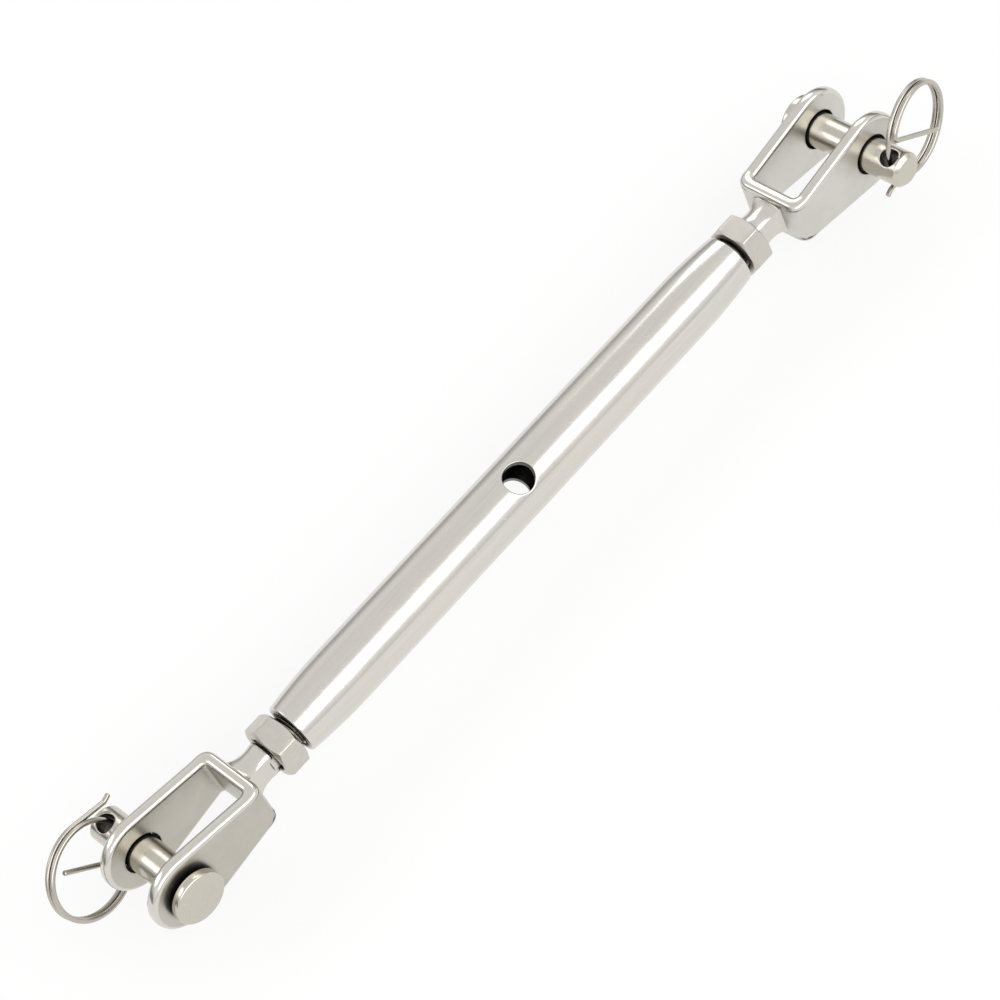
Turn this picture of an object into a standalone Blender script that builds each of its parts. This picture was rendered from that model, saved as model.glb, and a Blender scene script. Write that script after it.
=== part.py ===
"""Rigging turnbuckle: a closed tube body with a forged jaw screwed into each end.

The turnbuckle lies along X with the middle of its tube at the origin. The jaw pins run along Y and +Z is up.
The right-hand thread is at the -X end and the left-hand thread at the +X end. All sizes are in metres.
"""
import math

import bmesh
import bpy
import numpy as np
from mathutils import Matrix

MM = 0.001
DEG = math.pi / 180

# Tube body: a pipe swaged smaller at both ends, tapped there, with one cross hole for a bar
TUBE_LENGTH = 137.0 * MM
TUBE_RADIUS = 7.0 * MM
TUBE_END_RADIUS = 6.1 * MM
TUBE_SWAGE_LENGTH = 16.0 * MM
TUBE_END_ROUNDING = 0.5 * MM
TUBE_BORE_RADIUS = 5.2 * MM
TUBE_TAPPED_LENGTH = 18.0 * MM
TUBE_BORE_STEP = 1.5 * MM
CROSS_HOLE_RADIUS = 3.4 * MM
CROSS_HOLE_TILT = 31.0 * DEG

# Thread: the studs are plain here, at the middle depth of the thread
STUD_RADIUS = 3.85 * MM
STUD_LENGTH = 68.0 * MM
STUD_CHAMFER = 0.8 * MM
THREAD_CLEARANCE = 0.3 * MM
THREAD_MOUTH = 0.4 * MM

# Lock nuts
NUT_ACROSS_FLATS = 12.0 * MM
NUT_THICKNESS = 5.6 * MM
NUT_TO_TUBE = 1.3 * MM
NUT_TO_NECK = 0.3 * MM
NUT_CHAMFER_ANGLE = 30.0 * DEG
NUT_TURN = {"right": 7.0 * DEG, "left": -23.0 * DEG}

# Jaws: one strip of even wall bent to a U, wider at the round eyes, on a flared neck
JAW_WALL = 2.95 * MM
JAW_GAP = 11.9 * MM
JAW_BASE_HALF_WIDTH = 5.9 * MM
JAW_INNER_BEND = 0.9 * MM
JAW_EDGE_ROUNDING = 0.9 * MM
JAW_EYE_RADIUS = 9.1 * MM
JAW_BASE_TO_EYE = 20.5 * MM
NECK_RADIUS = 4.05 * MM
NECK_LENGTH = 6.7 * MM
NECK_STRAIGHT = 1.2 * MM
FLARE_SIDE_MARGIN = 1.6 * MM
FLARE_EDGE_MARGIN = 0.6 * MM
FLARE_SQUARENESS = 4.5
FLARE_SUNK = 0.6 * MM

# Clevis pins
PIN_RADIUS = 3.95 * MM
PIN_CLEARANCE = 0.45 * MM
PIN_HEAD_RADIUS = 5.9 * MM
PIN_HEAD_THICKNESS = 2.0 * MM
PIN_HEAD_ROUNDING = 0.5 * MM
PIN_HEAD_TO_EAR = 1.3 * MM
PIN_PAST_EAR = 10.0 * MM
PIN_END_CHAMFER = 0.7 * MM
PIN_HOLE_PAST_EAR = 6.4 * MM
PIN_HOLE_RADIUS = 1.7 * MM
PIN_TURN = {"right": 9.0 * DEG, "left": -14.5 * DEG}

# Split rings: two turns of wire side by side, one through the pin, with a straight leg across the ring
RING_RADIUS = 10.2 * MM
RING_WIRE_RADIUS = 0.55 * MM
RING_TURN_GAP = 0.5 * MM
RING_HOLE_CLEARANCE = 0.3 * MM
RING_LEAN = {"right": 13.0 * DEG, "left": 10.0 * DEG}
RING_CANT = {"right": 7.0 * DEG, "left": 0.0 * DEG}
RING_FLIP = {"right": 1, "left": -1}
RING_TAIL_FROM = 64.0 * DEG
RING_TAIL_LENGTH = 8.5 * MM
RING_TIP_LENGTH = 2.0 * MM
RING_TIP_TURN = 35.0 * DEG
RING_LEG_FROM = 665.0 * DEG
RING_LEG_BEND = 1.6 * MM
RING_LEG_END_ANGLE = 115.0 * DEG
RING_LEG_END_RADIUS = 7.2 * MM

# Facets
TURN_STEPS = 40
SMALL_TURN_STEPS = 28
SWAGE_STEPS = 5
BEND_STEPS = 4
EYE_STEPS = 9
EDGE_STEPS = 2
FLARE_STEPS = 6
NECK_POINTS = 32
LOOP_POINTS = 24
LEG_BEND_STEPS = 4
HOLE_STEPS = 20
SHARP_ANGLE = 35.0 * DEG
MERGE = 1e-7

# Places along X that follow from the sizes, for the end at +X
TUBE_END = TUBE_LENGTH / 2
NUT_START = TUBE_END + NUT_TO_TUBE
NUT_END = NUT_START + NUT_THICKNESS
NECK_START = NUT_END + NUT_TO_NECK
BASE_BACK = NECK_START + NECK_LENGTH
BASE_FRONT = BASE_BACK + JAW_WALL
PIN_X = BASE_FRONT + JAW_BASE_TO_EYE
STUD_TIP = NECK_START - STUD_LENGTH
TAPPED_RADIUS = STUD_RADIUS + THREAD_CLEARANCE
EAR_OUTSIDE = JAW_GAP / 2 + JAW_WALL
PIN_HOLE_Y = -(EAR_OUTSIDE + PIN_HOLE_PAST_EAR)

# The wire runs near the wall of the pin's hole on the side away from the middle of the ring
RING_PITCH = 2 * RING_WIRE_RADIUS + RING_TURN_GAP
RING_CENTRE = RING_RADIUS - (PIN_HOLE_RADIUS - RING_WIRE_RADIUS - RING_HOLE_CLEARANCE)


def clear_scene():
    for item in list(bpy.data.objects):
        bpy.data.objects.remove(item, do_unlink=True)


def steel(name, colour, roughness):
    material = bpy.data.materials.new(name)
    material.use_nodes = True
    shader = material.node_tree.nodes["Principled BSDF"]
    shader.inputs["Base Color"].default_value = (*colour, 1.0)
    shader.inputs["Roughness"].default_value = roughness
    shader.inputs["Metallic"].default_value = 1.0
    return material


def empty(name, parent=None, location=(0, 0, 0), rotation=(0, 0, 0)):
    item = bpy.data.objects.new(name, None)
    bpy.context.collection.objects.link(item)
    item.parent = parent
    item.location = location
    item.rotation_euler = rotation
    return item


def piece(name, shape, material, parent=None, location=(0, 0, 0), rotation=(0, 0, 0)):
    """A named object from a bmesh, shaded smooth between its sharp edges."""
    mesh = bpy.data.meshes.new(name)
    shape.to_mesh(mesh)
    shape.free()
    mesh.shade_smooth()
    mesh.set_sharp_from_angle(angle=SHARP_ANGLE)
    mesh.materials.append(material)
    item = bpy.data.objects.new(name, mesh)
    bpy.context.collection.objects.link(item)
    item.parent = parent
    item.location = location
    item.rotation_euler = rotation
    return item


def combine(item, name, shape, operation, location=(0, 0, 0), rotation=(0, 0, 0)):
    """Cut, join or trim a piece with a hidden tool shape that moves with it."""
    mesh = bpy.data.meshes.new(name)
    shape.to_mesh(mesh)
    shape.free()
    tool = bpy.data.objects.new(name, mesh)
    bpy.context.collection.objects.link(tool)
    tool.parent = item
    tool.location = location
    tool.rotation_euler = rotation
    tool.hide_render = True
    tool.display_type = "WIRE"
    modifier = item.modifiers.new(name, "BOOLEAN")
    modifier.operation = operation
    modifier.object = tool
    modifier.solver = "EXACT"


def turned(profile, steps, closed=False):
    """A shape turned about X from (along, radius) points; a closed profile leaves a bore."""
    shape = bmesh.new()
    verts = [shape.verts.new((along, 0.0, radius)) for along, radius in profile]
    pairs = list(zip(verts, verts[1:]))
    if closed:
        pairs.append((verts[-1], verts[0]))
    edges = [shape.edges.new(pair) for pair in pairs]
    bmesh.ops.spin(shape, geom=verts + edges, axis=(1, 0, 0), cent=(0, 0, 0), angle=2 * math.pi,
                   steps=steps, use_merge=True)
    bmesh.ops.remove_doubles(shape, verts=shape.verts[:], dist=MERGE)
    bmesh.ops.recalc_face_normals(shape, faces=shape.faces[:])
    return shape


def rod(radius, start, end, steps=SMALL_TURN_STEPS):
    return turned([(start, 0.0), (start, radius), (end, radius), (end, 0.0)], steps)


def tube_profile():
    """Half of the pipe's wall in section, mirrored: swaged outside, tapped end and wider bore inside."""
    outside = []
    for step in range(SWAGE_STEPS + 1):
        into = step / SWAGE_STEPS
        along = TUBE_END - TUBE_SWAGE_LENGTH + into * (TUBE_SWAGE_LENGTH - TUBE_END_ROUNDING)
        outside.append((along, TUBE_RADIUS - (TUBE_RADIUS - TUBE_END_RADIUS) * into**2))
    rim = TUBE_END_ROUNDING * (1 - math.sqrt(0.5))
    outside.append((TUBE_END - rim, TUBE_END_RADIUS - rim))
    outside.append((TUBE_END, TUBE_END_RADIUS - TUBE_END_ROUNDING))
    tapped_from = TUBE_END - TUBE_TAPPED_LENGTH
    inside = [
        (TUBE_END, TAPPED_RADIUS + THREAD_MOUTH),
        (TUBE_END - THREAD_MOUTH, TAPPED_RADIUS),
        (tapped_from, TAPPED_RADIUS),
        (tapped_from - TUBE_BORE_STEP, TUBE_BORE_RADIUS),
    ]
    half = outside + inside
    return half + [(-along, radius) for along, radius in reversed(half)]


def make_tube():
    tube = piece("tube_body", turned(tube_profile(), TURN_STEPS, closed=True),
                 steel("polished_tube", (0.66, 0.65, 0.62), 0.16))
    drill = rod(CROSS_HOLE_RADIUS, -2 * TUBE_RADIUS, 2 * TUBE_RADIUS)
    drill.transform(Matrix.Rotation(90.0 * DEG, 4, "Y"))
    combine(tube, "cross_hole_drill", drill, "DIFFERENCE", rotation=(CROSS_HOLE_TILT, 0, 0))


def make_nut(end, frame):
    corner = NUT_ACROSS_FLATS / 2 / math.cos(30.0 * DEG)
    hexagon = rod(corner, NUT_START, NUT_END, 6)
    nut = piece(end + "_thread_lock_nut", hexagon, steel(end + "_nut_steel", (0.62, 0.61, 0.58), 0.24),
                frame, rotation=(NUT_TURN[end], 0, 0))
    flat = NUT_ACROSS_FLATS / 2
    slope = math.tan(NUT_CHAMFER_ANGLE)
    wide = flat + NUT_THICKNESS / 2 / slope
    middle = (NUT_START + NUT_END) / 2
    cones = turned([(NUT_START, 0.0), (NUT_START, flat), (middle, wide), (NUT_END, flat), (NUT_END, 0.0)],
                   SMALL_TURN_STEPS)
    combine(nut, end + "_nut_chamfer", cones, "INTERSECT")
    tap = rod(TAPPED_RADIUS, NUT_START - NUT_THICKNESS, NUT_END + NUT_THICKNESS)
    combine(nut, end + "_nut_tap", tap, "DIFFERENCE")


def strip_outline():
    """One quarter of the jaw's flat strip, middle to tip of an eye: (along, half width, edge normal)."""
    bend_radius = JAW_INNER_BEND + JAW_WALL / 2
    straight = JAW_GAP / 2 - JAW_INNER_BEND
    bent = straight + bend_radius * math.pi / 2
    eye = bent + JAW_BASE_TO_EYE - JAW_INNER_BEND
    corner = math.hypot(eye - bent, JAW_BASE_HALF_WIDTH)
    touch = math.atan2(JAW_BASE_HALF_WIDTH, bent - eye) - math.acos(JAW_EYE_RADIUS / corner)
    upright = 90.0 * DEG
    points = [(0.0, JAW_BASE_HALF_WIDTH, upright), (straight, JAW_BASE_HALF_WIDTH, upright)]
    for step in range(1, BEND_STEPS + 1):
        along = straight + (bent - straight) * step / BEND_STEPS
        turn = (touch - upright) / 2 if step == BEND_STEPS else 0.0
        points.append((along, JAW_BASE_HALF_WIDTH, upright + turn))
    for step in range(EYE_STEPS + 1):
        angle = touch * (1 - step / EYE_STEPS)
        points.append((eye + JAW_EYE_RADIUS * math.cos(angle), JAW_EYE_RADIUS * math.sin(angle), angle))
    return points


def bend_strip(along, out, across):
    """Fold a point of the flat strip round the U: base across Y, ears along X."""
    radius = JAW_INNER_BEND + JAW_WALL / 2
    straight = JAW_GAP / 2 - JAW_INNER_BEND
    side = math.copysign(1.0, along)
    run = abs(along)
    turn = min(max(run - straight, 0.0) / radius, math.pi / 2)
    reach = max(run - straight - radius * math.pi / 2, 0.0)
    x = BASE_FRONT + JAW_INNER_BEND - (radius + out) * math.cos(turn) + reach
    y = min(run, straight) + (radius + out) * math.sin(turn)
    return x, side * y, across


def fork_shape():
    """The U of the jaw: the strip's rounded edge all round, closed by its inner and outer faces."""
    quarter = strip_outline()
    edge = []
    for step in range(EDGE_STEPS + 1):
        turn = 90.0 * DEG * step / EDGE_STEPS
        edge.append((JAW_EDGE_ROUNDING * (1 - math.sin(turn)),
                     JAW_WALL / 2 - JAW_EDGE_ROUNDING * (1 - math.cos(turn))))
    edge += [(inset, -out) for inset, out in reversed(edge)]
    upper = [(-along, width, math.pi - normal) for along, width, normal in reversed(quarter[1:])] + quarter
    shape = bmesh.new()
    rows = []
    for along, width, normal in upper:
        row = []
        for mirror in (1, -1):
            if mirror == -1 and width < MERGE:
                row.append(row[0])
                continue
            ring = []
            for inset, out in edge:
                s = along - inset * math.cos(normal)
                z = width - inset * math.sin(normal)
                ring.append(shape.verts.new(bend_strip(s, out, mirror * max(z, 0.0))))
            row.append(ring)
        rows.append(row)
    for (top, low), (next_top, next_low) in zip(rows, rows[1:]):
        for this, following in ((top, next_top), (low, next_low)):
            for k in range(len(edge) - 1):
                shape.faces.new((this[k], this[k + 1], following[k + 1], following[k]))
        for k in (0, -1):
            corners = list(dict.fromkeys((top[k], next_top[k], next_low[k], low[k])))
            shape.faces.new(corners)
    bmesh.ops.recalc_face_normals(shape, faces=shape.faces[:])
    return shape


def neck_shape():
    """Stud and neck in one loft of rounded sections, flaring from round to the square back of the fork."""
    flare_from = NECK_START + NECK_STRAIGHT
    side = EAR_OUTSIDE - FLARE_SIDE_MARGIN
    edge = JAW_BASE_HALF_WIDTH - JAW_EDGE_ROUNDING - FLARE_EDGE_MARGIN
    sections = [
        (STUD_TIP, STUD_RADIUS - STUD_CHAMFER, STUD_RADIUS - STUD_CHAMFER, 2.0),
        (STUD_TIP + STUD_CHAMFER, STUD_RADIUS, STUD_RADIUS, 2.0),
        (NECK_START, STUD_RADIUS, STUD_RADIUS, 2.0),
        (NECK_START, NECK_RADIUS, NECK_RADIUS, 2.0),
    ]
    for step in range(FLARE_STEPS + 1):
        turn = 90.0 * DEG * step / FLARE_STEPS
        blend = 1 - math.cos(turn)
        sections.append((
            flare_from + (BASE_BACK - flare_from) * math.sin(turn),
            NECK_RADIUS + (side - NECK_RADIUS) * blend,
            NECK_RADIUS + (edge - NECK_RADIUS) * blend,
            2.0 + (FLARE_SQUARENESS - 2.0) * blend,
        ))
    sections.append((BASE_BACK + FLARE_SUNK, *sections[-1][1:]))
    shape = bmesh.new()
    rings = []
    for along, half_y, half_z, power in sections:
        ring = []
        for k in range(NECK_POINTS):
            angle = 2 * math.pi * k / NECK_POINTS
            y, z = math.cos(angle), math.sin(angle)
            reach = (abs(y / half_y) ** power + abs(z / half_z) ** power) ** (-1 / power)
            ring.append(shape.verts.new((along, reach * y, reach * z)))
        rings.append(ring)
    for ring, following in zip(rings, rings[1:]):
        for k in range(NECK_POINTS):
            n = (k + 1) % NECK_POINTS
            shape.faces.new((ring[k], ring[n], following[n], following[k]))
    shape.faces.new(rings[0])
    shape.faces.new(rings[-1])
    bmesh.ops.recalc_face_normals(shape, faces=shape.faces[:])
    return shape


def make_jaw(end, frame):
    jaw = piece(end + "_thread_jaw", fork_shape(), steel(end + "_jaw_steel", (0.64, 0.63, 0.60), 0.2), frame)
    combine(jaw, end + "_neck", neck_shape(), "UNION")
    ream = rod(PIN_RADIUS + PIN_CLEARANCE, -2 * EAR_OUTSIDE, 2 * EAR_OUTSIDE)
    ream.transform(Matrix.Rotation(90.0 * DEG, 4, "Z"))
    combine(jaw, end + "_eye_reamer", ream, "DIFFERENCE", location=(PIN_X, 0, 0))


def make_pin(end, frame):
    """The pin lies on its own Y axis with its head at +Y and its cross hole along its own Z."""
    head_in = EAR_OUTSIDE + PIN_HEAD_TO_EAR
    head_out = head_in + PIN_HEAD_THICKNESS
    tip = -(EAR_OUTSIDE + PIN_PAST_EAR)
    rim = PIN_HEAD_ROUNDING * (1 - math.sqrt(0.5))
    profile = [
        (head_out, 0.0),
        (head_out, PIN_HEAD_RADIUS - PIN_HEAD_ROUNDING),
        (head_out - rim, PIN_HEAD_RADIUS - rim),
        (head_out - PIN_HEAD_ROUNDING, PIN_HEAD_RADIUS),
        (head_in, PIN_HEAD_RADIUS),
        (head_in, PIN_RADIUS),
        (tip + PIN_END_CHAMFER, PIN_RADIUS),
        (tip, PIN_RADIUS - PIN_END_CHAMFER),
        (tip, 0.0),
    ]
    shape = turned(profile, SMALL_TURN_STEPS)
    shape.transform(Matrix.Rotation(90.0 * DEG, 4, "Z"))
    pin = piece(end + "_jaw_clevis_pin", shape, steel(end + "_pin_steel", (0.63, 0.62, 0.59), 0.18), frame,
                location=(PIN_X, 0, 0), rotation=(0, PIN_TURN[end], 0))
    drill = rod(PIN_HOLE_RADIUS, -2 * PIN_RADIUS, 2 * PIN_RADIUS, HOLE_STEPS)
    drill.transform(Matrix.Rotation(90.0 * DEG, 4, "Y"))
    combine(pin, end + "_pin_drill", drill, "DIFFERENCE", location=(0, PIN_HOLE_Y, 0))
    return pin


def on_ring(angle, radius=RING_RADIUS):
    """A place in the ring's plane (X out from the hole, Z along the hole), by its angle from the hole."""
    return np.array([RING_CENTRE - radius * math.cos(angle), radius * math.sin(angle)])


def heading(angle):
    """The way the wire runs round the ring at an angle from the hole."""
    return np.array([math.sin(angle), math.cos(angle)])


def ring_path(flip):
    """The wire's middle line, with the pin's hole along Z through the origin and the ring reaching to +X.

    A straight tail lies over the pin, the first turn goes once round and through the hole, the second turn
    runs beside it and bends inwards to a straight leg that ends short of the far side.
    """
    back = -heading(RING_TAIL_FROM)
    tail = on_ring(RING_TAIL_FROM) + RING_TAIL_LENGTH * back
    tip_angle = RING_TAIL_FROM + RING_TIP_TURN
    flat = [tail - RING_TIP_LENGTH * heading(tip_angle), tail]
    angles = [RING_TAIL_FROM, RING_TAIL_FROM]
    turned_by = RING_LEG_FROM - RING_TAIL_FROM
    count = round(LOOP_POINTS * turned_by / (2 * math.pi))
    for k in range(count + 1):
        angles.append(RING_TAIL_FROM + turned_by * k / count)
        flat.append(on_ring(angles[-1]))
    inward = heading(RING_LEG_FROM + 90.0 * DEG)
    pivot = flat[-1] + RING_LEG_BEND * inward
    goal = on_ring(RING_LEG_END_ANGLE, RING_LEG_END_RADIUS)
    reach = goal - pivot
    aside = math.asin(RING_LEG_BEND / np.linalg.norm(reach))
    bend = math.atan2(reach[0], reach[1]) - aside - RING_LEG_FROM
    bend %= 2 * math.pi
    for k in range(1, LEG_BEND_STEPS + 1):
        angle = RING_LEG_FROM + bend * k / LEG_BEND_STEPS
        flat.append(pivot - RING_LEG_BEND * heading(angle + 90.0 * DEG))
    flat.append(goal)
    angles += [RING_LEG_FROM] * (len(flat) - len(angles))
    beside = [RING_PITCH * (angle / (2 * math.pi) - 1.0) for angle in angles]
    return np.array([(x, flip * y, flip * z) for (x, z), y in zip(flat, beside)])


def least_gap(points, width, skip):
    """The least clear distance between stretches of the wire that aren't neighbours."""
    fine = []
    for a, b in zip(points, points[1:]):
        fine += [a + (b - a) * k / 8 for k in range(8)]
    fine = np.array(fine + [points[-1]])
    run = np.concatenate(([0.0], np.cumsum(np.linalg.norm(np.diff(fine, axis=0), axis=1))))
    gaps = np.linalg.norm(fine[:, None] - fine[None], axis=2)
    apart = np.abs(run[:, None] - run[None]) > skip
    return gaps[apart].min() - width


def make_ring(end, pin):
    path = ring_path(RING_FLIP[end])
    curve = bpy.data.curves.new(end + "_jaw_split_ring", "CURVE")
    curve.dimensions = "3D"
    curve.bevel_depth = RING_WIRE_RADIUS
    curve.bevel_resolution = 1
    curve.use_fill_caps = True
    spline = curve.splines.new("POLY")
    spline.points.add(len(path) - 1)
    for point, place in zip(spline.points, path):
        point.co = (*place, 1.0)
    curve.materials.append(steel(end + "_ring_wire", (0.55, 0.53, 0.49), 0.25))
    ring = bpy.data.objects.new(end + "_jaw_split_ring", curve)
    bpy.context.collection.objects.link(ring)
    ring.parent = pin
    ring.location = (0, PIN_HOLE_Y, 0)
    ring.rotation_euler = (RING_CANT[end], 0, RING_LEAN[end])
    gap = least_gap(path, 2 * RING_WIRE_RADIUS, 4 * RING_LEG_BEND)
    print(f"{ring.name}: least gap between its turns {gap / MM:.2f} mm")


def make_end(end, facing):
    """Nut, jaw, pin and ring of one end, modelled at +X and turned to face their own way."""
    frame = empty(end + "_end", rotation=(0, 0, facing))
    make_nut(end, frame)
    make_jaw(end, frame)
    pin = make_pin(end, frame)
    make_ring(end, pin)


clear_scene()
make_tube()
make_end("right", 180.0 * DEG)
make_end("left", 0.0)
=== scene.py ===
"""Looks of the rigging turnbuckle: finely meshed pieces in place of the plain solids, steels and studio.

The turnbuckle lies along X with the middle of its tube at the origin and +Z up. Each end is modelled at +X,
and the end with the right-hand thread is then turned about Z to lie at -X. All sizes are in metres.
"""
import math

import bmesh
import bpy
import numpy as np
from mathutils import Euler, Matrix, Vector


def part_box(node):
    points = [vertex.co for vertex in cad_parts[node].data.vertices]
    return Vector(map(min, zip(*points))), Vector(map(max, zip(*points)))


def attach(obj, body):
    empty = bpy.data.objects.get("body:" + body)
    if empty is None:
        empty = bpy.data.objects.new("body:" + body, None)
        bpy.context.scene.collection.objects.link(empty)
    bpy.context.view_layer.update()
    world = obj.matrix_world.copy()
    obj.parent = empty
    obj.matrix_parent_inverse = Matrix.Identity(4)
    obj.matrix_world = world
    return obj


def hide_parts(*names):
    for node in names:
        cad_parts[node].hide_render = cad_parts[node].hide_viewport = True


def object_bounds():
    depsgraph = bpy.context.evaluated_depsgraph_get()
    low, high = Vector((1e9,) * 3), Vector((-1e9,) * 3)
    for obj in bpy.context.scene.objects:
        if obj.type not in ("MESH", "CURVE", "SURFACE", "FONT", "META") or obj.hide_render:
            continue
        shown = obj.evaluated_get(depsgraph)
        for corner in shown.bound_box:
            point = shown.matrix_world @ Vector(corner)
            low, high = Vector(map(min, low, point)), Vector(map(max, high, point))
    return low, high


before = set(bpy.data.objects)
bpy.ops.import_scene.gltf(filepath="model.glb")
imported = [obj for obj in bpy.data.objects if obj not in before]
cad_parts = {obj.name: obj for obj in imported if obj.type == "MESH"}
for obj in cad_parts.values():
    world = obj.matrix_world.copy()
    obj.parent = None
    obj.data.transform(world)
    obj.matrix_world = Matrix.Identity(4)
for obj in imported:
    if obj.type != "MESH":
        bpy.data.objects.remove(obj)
solid_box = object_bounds()

MM = 0.001
DEG = math.pi / 180

# Each end: how it faces, the hand of its thread and how its loose pieces lie
FACING = {"right": 180.0 * DEG, "left": 0.0}
THREAD_HAND = {"right": 1, "left": -1}
NUT_TURN = {"right": 7.0 * DEG, "left": -23.0 * DEG}
PIN_TURN = {"right": 9.0 * DEG, "left": -14.5 * DEG}
RING_LEAN = {"right": 13.0 * DEG, "left": 10.0 * DEG}
RING_CANT = {"right": 8.0 * DEG, "left": 2.0 * DEG}
RING_TILT = {"right": -5.0 * DEG, "left": 3.0 * DEG}
RING_FLIP = {"right": 1, "left": -1}

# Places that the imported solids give, for the end at +X
TUBE_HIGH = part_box("tube_body")[1]
NUT_LOW, NUT_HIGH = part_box("left_thread_lock_nut")
JAW_LOW, JAW_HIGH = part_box("left_thread_jaw")
PIN_LOW, PIN_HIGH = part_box("left_jaw_clevis_pin")
TUBE_END = TUBE_HIGH.x
TUBE_RADIUS = TUBE_HIGH.z
NUT_START = NUT_LOW.x
NUT_END = NUT_HIGH.x
STUD_TIP = JAW_LOW.x
EAR_OUTSIDE = JAW_HIGH.y
EYE_RADIUS = JAW_HIGH.z
PIN_X = JAW_HIGH.x - EYE_RADIUS
PIN_HEAD_OUT = PIN_HIGH.y
PIN_TIP = PIN_LOW.y

# Tube
TUBE_END_RADIUS = 6.1 * MM
TUBE_SWAGE_LENGTH = 16.0 * MM
TUBE_END_ROUNDING = 0.5 * MM
TUBE_BORE_RADIUS = 5.2 * MM
TUBE_TAPPED_LENGTH = 18.0 * MM
TUBE_BORE_STEP = 1.5 * MM
TAPPED_RADIUS = 4.15 * MM
THREAD_MOUTH = 0.6 * MM
CROSS_HOLE_RADIUS = 3.4 * MM
CROSS_HOLE_ROUNDING = 0.35 * MM
CROSS_HOLE_TILT = 28.5 * DEG
CROSS_HOLE_ZONE = 8.0 * MM
BORE_FINISH_INSET = 1.0 * MM

# Thread of the studs, its form in shares of the pitch and of the depth
THREAD_PITCH = 1.25 * MM
THREAD_CREST = 4.0 * MM
THREAD_ROOT = 3.3 * MM
THREAD_FORM = ((0.0, 0.0), (0.25, 0.0), (0.545, 0.94), (0.58, 1.0), (0.67, 1.0), (0.705, 0.94))
THREAD_RUN_OUT = 1.5 * MM
STUD_TIP_RADIUS = 3.05 * MM
STUD_IN_NECK = 1.0 * MM
THREAD_TURNS_BEFORE_TIP = 2
THREAD_TURNS_PAST_NECK = 1

# Lock nuts
NUT_ACROSS_FLATS = 12.0 * MM
NUT_FACE_RADIUS = 5.75 * MM
NUT_CHAMFER_ANGLE = 30.0 * DEG
NUT_CORNER_ROUNDING = 0.5 * MM
NUT_EDGE_ROUNDING = 0.16 * MM
NUT_EDGE_STEPS = 3
NUT_EDGE_LEAST_ANGLE = 18.0 * DEG
NUT_MOUTH = 0.45 * MM
HALF_FLAT = 30.0 * DEG

# Jaws
JAW_WALL = 2.95 * MM
JAW_BASE_HALF_WIDTH = 5.9 * MM
JAW_INNER_BEND = 0.9 * MM
BEND_SQUARENESS = 0.9
CIRCLE_POWER = 2.0
JAW_EDGE_ROUNDING = 1.15 * MM
JAW_BASE_TO_EYE = 20.5 * MM
EYE_HOLE_RADIUS = 4.4 * MM
EYE_HOLE_ROUNDING = 0.25 * MM
NECK_GAP = 0.3 * MM
NECK_RADIUS = 4.05 * MM
NECK_ROUNDING = 0.3 * MM
NECK_WAIST = 0.86
NECK_STRAIGHT = 1.2 * MM
FLARE_HALF_LENGTH = 7.6 * MM
FLARE_EDGE_MARGIN = 0.7 * MM
FLARE_HALF_ACROSS = JAW_BASE_HALF_WIDTH - JAW_EDGE_ROUNDING - FLARE_EDGE_MARGIN
FLARE_SQUARENESS = 3.6
FLARE_LEAVING = 3.0 * MM
FLARE_LANDING = 0.55
FLARE_LEAST_LANDING = 0.1 * MM
JUST_INSIDE = 0.98

# Clevis pins
PIN_RADIUS = 3.95 * MM
PIN_HEAD_RADIUS = 5.9 * MM
PIN_HEAD_THICKNESS = 2.0 * MM
PIN_HEAD_ROUNDING = 0.55 * MM
PIN_HEAD_FILLET = 0.25 * MM
PIN_END_CHAMFER = 0.85 * MM
PIN_SIDE_ROUNDING = PIN_END_CHAMFER / 2
PIN_TIP_ROUNDING = PIN_END_CHAMFER / 4
PIN_HOLE_RADIUS = 2.05 * MM
PIN_HOLE_ROUNDING = 0.3 * MM
PIN_HOLE_PAST_EAR = 6.4 * MM
PIN_HOLE_ALONG = -(EAR_OUTSIDE + PIN_HOLE_PAST_EAR)
PIN_HOLE_ZONE = 2.55 * MM

# Split rings, angles counted from the hole of the pin
RING_RADIUS = 10.2 * MM
RING_WIRE_RADIUS = 0.57 * MM
RING_END_BLUNTING = RING_WIRE_RADIUS / 3
RING_TURN_GAP = 0.25 * MM
RING_HOLE_CLEARANCE = 0.63 * MM
RING_TAIL_FROM = 64.0 * DEG
RING_TAIL_LENGTH = 9.0 * MM
RING_TIP_LENGTH = 1.6 * MM
RING_TIP_TURN = 30.0 * DEG
RING_LEG_FROM = 666.0 * DEG
RING_LEG_BEND = 1.6 * MM
RING_LEG_END_ANGLE = 121.0 * DEG
RING_LEG_END_RADIUS = 7.9 * MM
RING_SAMPLE = 0.2 * MM
RING_SOFTENING = 4

# Mesh fineness
TURN_COLUMNS = 96
HOLE_SPAN = 18
HOLE_ROWS = 16
HOLE_LOOPS = 8
ROUND_STEPS = 5
SWAGE_STEPS = 14
THREAD_COLUMNS = 48
NUT_COLUMNS_A_FLAT = 16
BEND_STEPS = 12
BASE_STEPS = 10
EYE_STEPS = 36
CHEEK_STEPS = 10
FLARE_STEPS = 14
BACK_LOOPS = 5
EYE_HOLE_STEPS = 72
RING_LOOP_POINTS = 120
WIRE_SIDES = 16
SHARP_ANGLE = 32.0 * DEG
MERGE = 1e-7
SAME_PLACE = 10 * MERGE
EVEN_SHADING_WEIGHT = 90

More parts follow.
